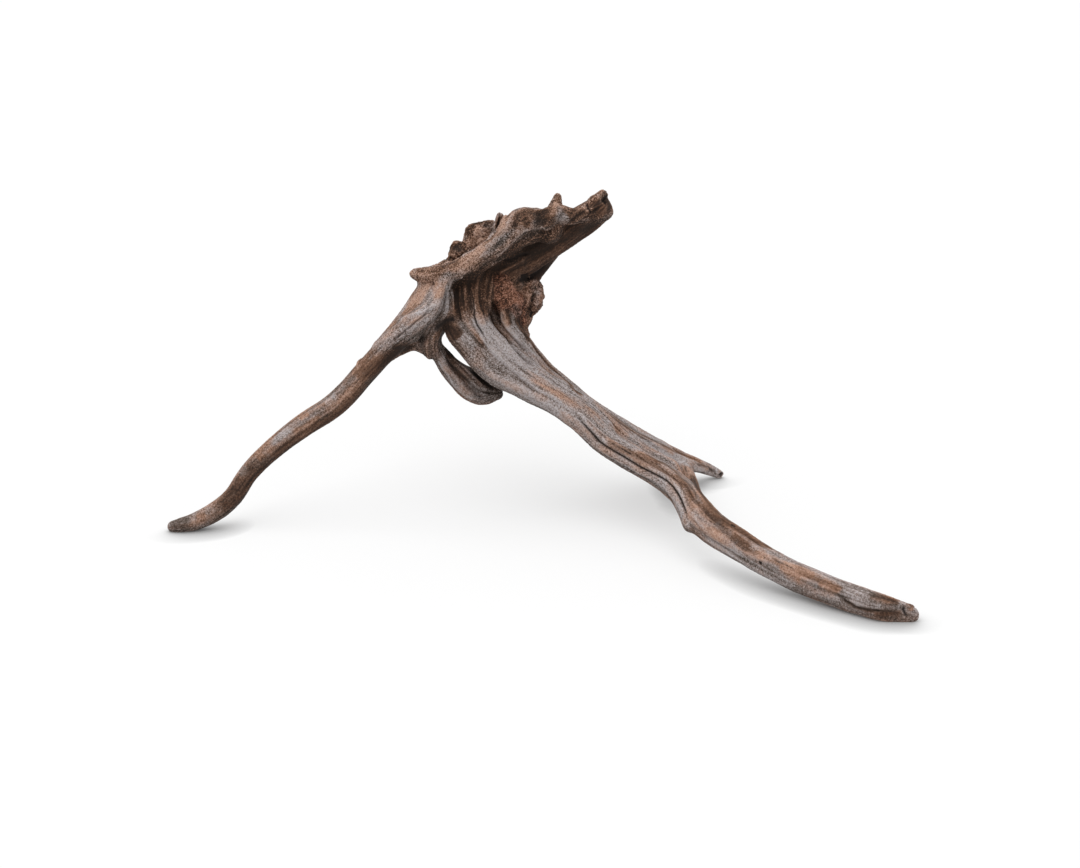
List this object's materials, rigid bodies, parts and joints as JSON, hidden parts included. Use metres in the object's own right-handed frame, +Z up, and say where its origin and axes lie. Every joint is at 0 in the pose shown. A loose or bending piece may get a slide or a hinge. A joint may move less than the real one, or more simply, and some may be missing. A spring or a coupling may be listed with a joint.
{
  "type": "driftwood root",
  "caption": "Weathered driftwood root on slender toes, with a ragged crown, a short raised arm and a fluted forking trunk; stands free as aquarium or terrarium hardscape.",
  "frame": {"origin": "on the surface that the toes rest on, under the middle of the whole root's box", "axes": "+Z up from that surface; +X from the long thin leg's toe towards the forked trunk's toes; +Y towards the back prong, away from the front right toe"},
  "size_m": [0.4878, 0.2386, 0.2174],
  "materials": {
    "weathered_wood": "matt, weathered grey-brown with reddish and orange-brown patches, dry open grain"
  },
  "bodies": {
    "root": {"crown": "weathered_wood", "left_leg": "weathered_wood", "trunk": "weathered_wood", "hanging_root": "weathered_wood", "upper_arm": "weathered_wood", "right_leg": "weathered_wood", "prong": "weathered_wood"}
  },
  "joints": []
}
